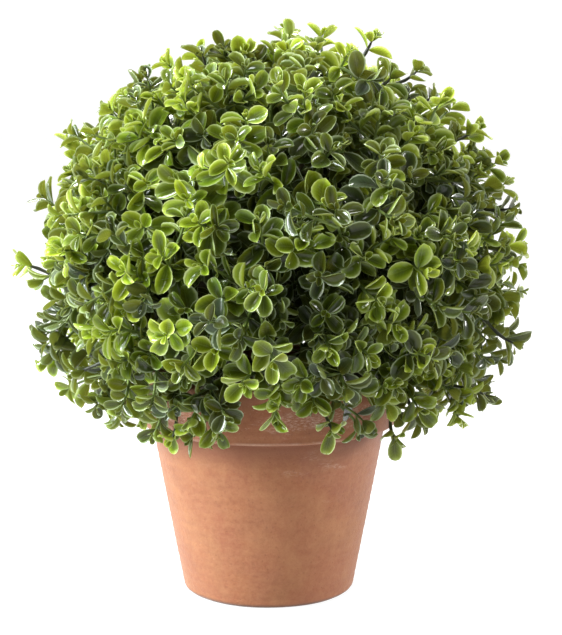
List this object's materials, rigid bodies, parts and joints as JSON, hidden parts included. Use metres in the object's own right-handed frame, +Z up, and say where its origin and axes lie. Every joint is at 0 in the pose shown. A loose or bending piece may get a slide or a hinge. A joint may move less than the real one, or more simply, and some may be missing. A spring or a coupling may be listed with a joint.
{
  "type": "artificial box topiary ball in a clay pot",
  "caption": "Ball of small glossy plastic box leaves on short hidden stems, standing in a collared clay flower pot.",
  "frame": {"origin": "middle of the pot's flat underside, where the part stands", "axes": "+Z up along the pot's axis; the object is seen from -Y, with +X to its right"},
  "size_m": [0.2458, 0.2429, 0.2688],
  "materials": {
    "clay": "matte",
    "filler": "matte",
    "stem": "matte",
    "leaves": "satin"
  },
  "bodies": {
    "root": {"pot": "clay", "plug": "filler", "stem": "stem", "crown_foliage": "leaves", "skirt_foliage_1": "leaves", "skirt_foliage_2": "leaves", "skirt_foliage_3": "leaves", "skirt_foliage_4": "leaves", "skirt_foliage_5": "leaves", "skirt_foliage_6": "leaves", "skirt_foliage_7": "leaves", "skirt_foliage_8": "leaves", "skirt_foliage_9": "leaves", "skirt_foliage_10": "leaves"}
  },
  "joints": []
}
